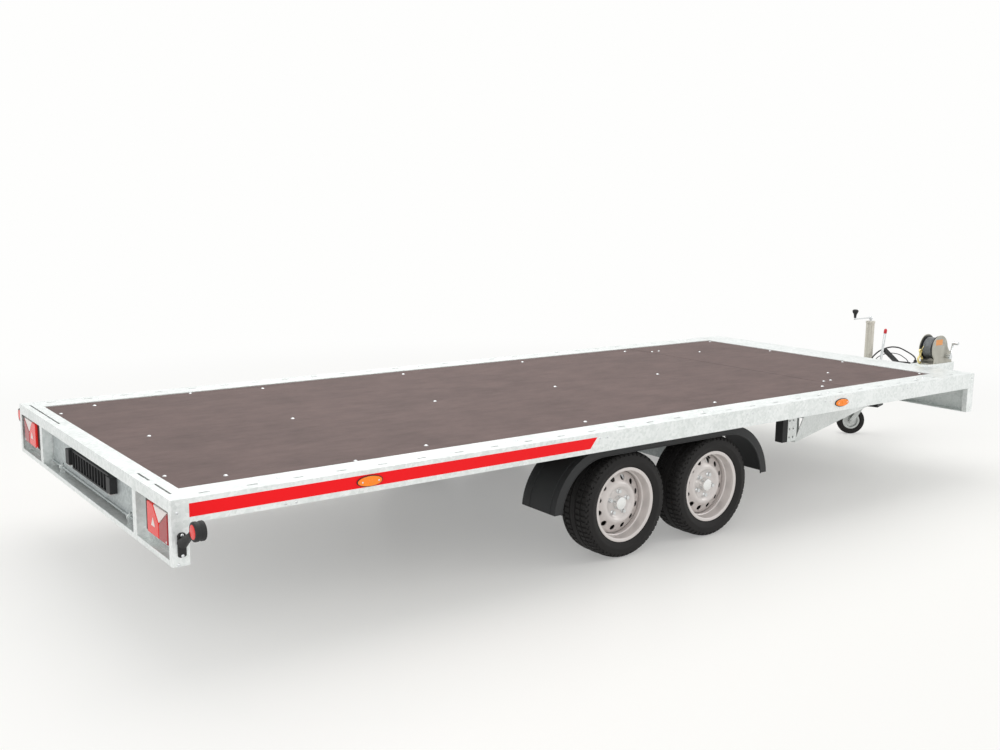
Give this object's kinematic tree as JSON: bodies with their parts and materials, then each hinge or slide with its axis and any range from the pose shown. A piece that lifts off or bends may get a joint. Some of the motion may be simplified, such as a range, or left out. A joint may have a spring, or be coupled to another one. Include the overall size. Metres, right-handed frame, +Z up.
{
  "type": "car hauler trailer",
  "caption": "Tandem-axle flatbed trailer for cars: galvanised frame, plywood deck, wheels under black mudguards, V drawbar with coupling, jockey wheel and hand winch.",
  "frame": {"origin": "on the ground, under the middle of the whole trailer", "axes": "+X forward to the coupling, +Y to the left, +Z up"},
  "size_m": [6.1, 2.4274, 0.939],
  "materials": {
    "galvanised_steel": "dull grey hot-dip galvanised",
    "deck_plywood": "brown film-faced plywood",
    "black_rubber": "matt",
    "tyre_rubber": "matt",
    "silver_rim_paint": "satin silver paint",
    "black_plastic": "fine grain",
    "red_lamp_lens": "clear red, glossy",
    "amber_lamp_lens": "clear amber, glossy",
    "zinc_plate": "satin zinc plating",
    "bright_zinc": "bright zinc plating",
    "black_drum_paint": "satin black paint",
    "yellow_zinc": "yellow passivated zinc"
  },
  "bodies": {
    "chassis": {"rail_right": "galvanised_steel", "rail_left": "galvanised_steel", "rear_beam": "galvanised_steel", "front_beam": "galvanised_steel", "cross_members": "galvanised_steel", "long_beam_right": "galvanised_steel", "long_beam_left": "galvanised_steel", "deck_main": "deck_plywood", "deck_front": "deck_plywood", "drawbar_right": "galvanised_steel", "drawbar_left": "galvanised_steel", "drawbar_caps": "black_plastic", "axle_rear": "galvanised_steel", "axle_front": "galvanised_steel", "mudguard_right": "black_plastic", "mudguard_left": "black_plastic", "ramps": "galvanised_steel", "tail_lamps": "red_lamp_lens", "outline_lamps": "black_rubber", "side_markers": "amber_lamp_lens", "wheel_chock": "black_plastic", "coupling_housing": "zinc_plate", "bellows": "black_rubber", "coupling_head": "zinc_plate", "coupling_handle": "black_plastic", "brake_rod": "galvanised_steel", "cable_holder": "black_plastic", "electric_cable": "black_rubber", "breakaway_cable": "black_rubber", "cable_plug": "black_plastic", "jockey_clamp": "zinc_plate", "jockey_tube": "bright_zinc", "winch_bracket": "galvanised_steel", "winch_frame": "zinc_plate", "winch_hook": "yellow_zinc"},
    "wheel_rear_right": {"tyre_rear_right": "tyre_rubber", "rim_rear_right": "silver_rim_paint"},
    "wheel_rear_left": {"tyre_rear_left": "tyre_rubber", "rim_rear_left": "silver_rim_paint"},
    "wheel_front_right": {"tyre_front_right": "tyre_rubber", "rim_front_right": "silver_rim_paint"},
    "wheel_front_left": {"tyre_front_left": "tyre_rubber", "rim_front_left": "silver_rim_paint"},
    "jockey_leg": {"jockey_leg": "bright_zinc"},
    "jockey_fork": {"jockey_fork": "zinc_plate"},
    "jockey_wheel": {"jockey_rim": "zinc_plate", "jockey_tyre": "tyre_rubber"},
    "jockey_crank": {"jockey_crank": "bright_zinc"},
    "brake_lever": {"brake_lever": "bright_zinc"},
    "plate_flap": {"plate_flap": "galvanised_steel", "plate_holder": "black_plastic"},
    "winch_drum": {"winch_drum": "black_drum_paint"},
    "winch_crank": {"winch_crank": "bright_zinc"}
  },
  "joints": [
    {"name": "wheel_rear_right_spin", "type": "hinge", "parent": "chassis", "child": "wheel_rear_right", "pos_m": [-0.817, -0.8645, 0.2625], "axis": [0, 1, 0], "continuous": true},
    {"name": "wheel_rear_left_spin", "type": "hinge", "parent": "chassis", "child": "wheel_rear_left", "pos_m": [-0.817, 0.8645, 0.2625], "axis": [0, 1, 0], "continuous": true},
    {"name": "wheel_front_right_spin", "type": "hinge", "parent": "chassis", "child": "wheel_front_right", "pos_m": [-0.219, -0.8645, 0.2625], "axis": [0, 1, 0], "continuous": true},
    {"name": "wheel_front_left_spin", "type": "hinge", "parent": "chassis", "child": "wheel_front_left", "pos_m": [-0.219, 0.8645, 0.2625], "axis": [0, 1, 0], "continuous": true},
    {"name": "jockey_slide", "type": "slide", "parent": "chassis", "child": "jockey_leg", "axis": [0, 0, 1], "range_m": [-0.12, 0.08]},
    {"name": "jockey_swivel", "type": "hinge", "parent": "jockey_leg", "child": "jockey_fork", "pos_m": [2.588, 0.106, 0.22], "axis": [0, 0, 1], "continuous": true},
    {"name": "jockey_roll", "type": "hinge", "parent": "jockey_fork", "child": "jockey_wheel", "pos_m": [2.5092, 0.16757, 0.1], "axis": [-0.6157, -0.788, 0], "continuous": true},
    {"name": "jockey_crank_turn", "type": "hinge", "parent": "chassis", "child": "jockey_crank", "pos_m": [2.588, 0.106, 0.84], "axis": [0, 0, 1], "continuous": true},
    {"name": "brake_lever_pull", "type": "hinge", "parent": "chassis", "child": "brake_lever", "pos_m": [2.485, -0.062, 0.497], "axis": [0, 1, 0], "range_deg": [0, 70]},
    {"name": "plate_flap_drop", "type": "hinge", "parent": "chassis", "child": "plate_flap", "pos_m": [-3.008, 0, 0.457], "axis": [0, -1, 0], "range_deg": [0, 70]},
    {"name": "winch_drum_spin", "type": "hinge", "parent": "chassis", "child": "winch_drum", "pos_m": [2.131, -0.686, 0.769], "axis": [0, 1, 0], "continuous": true},
    {"name": "winch_crank_spin", "type": "hinge", "parent": "chassis", "child": "winch_crank", "pos_m": [2.217, -0.686, 0.714], "axis": [0, 1, 0], "continuous": true}
  ],
  "couplings": [
    {"joint": "winch_crank_spin", "follows": "winch_drum_spin", "ratio": -4.5}
  ]
}
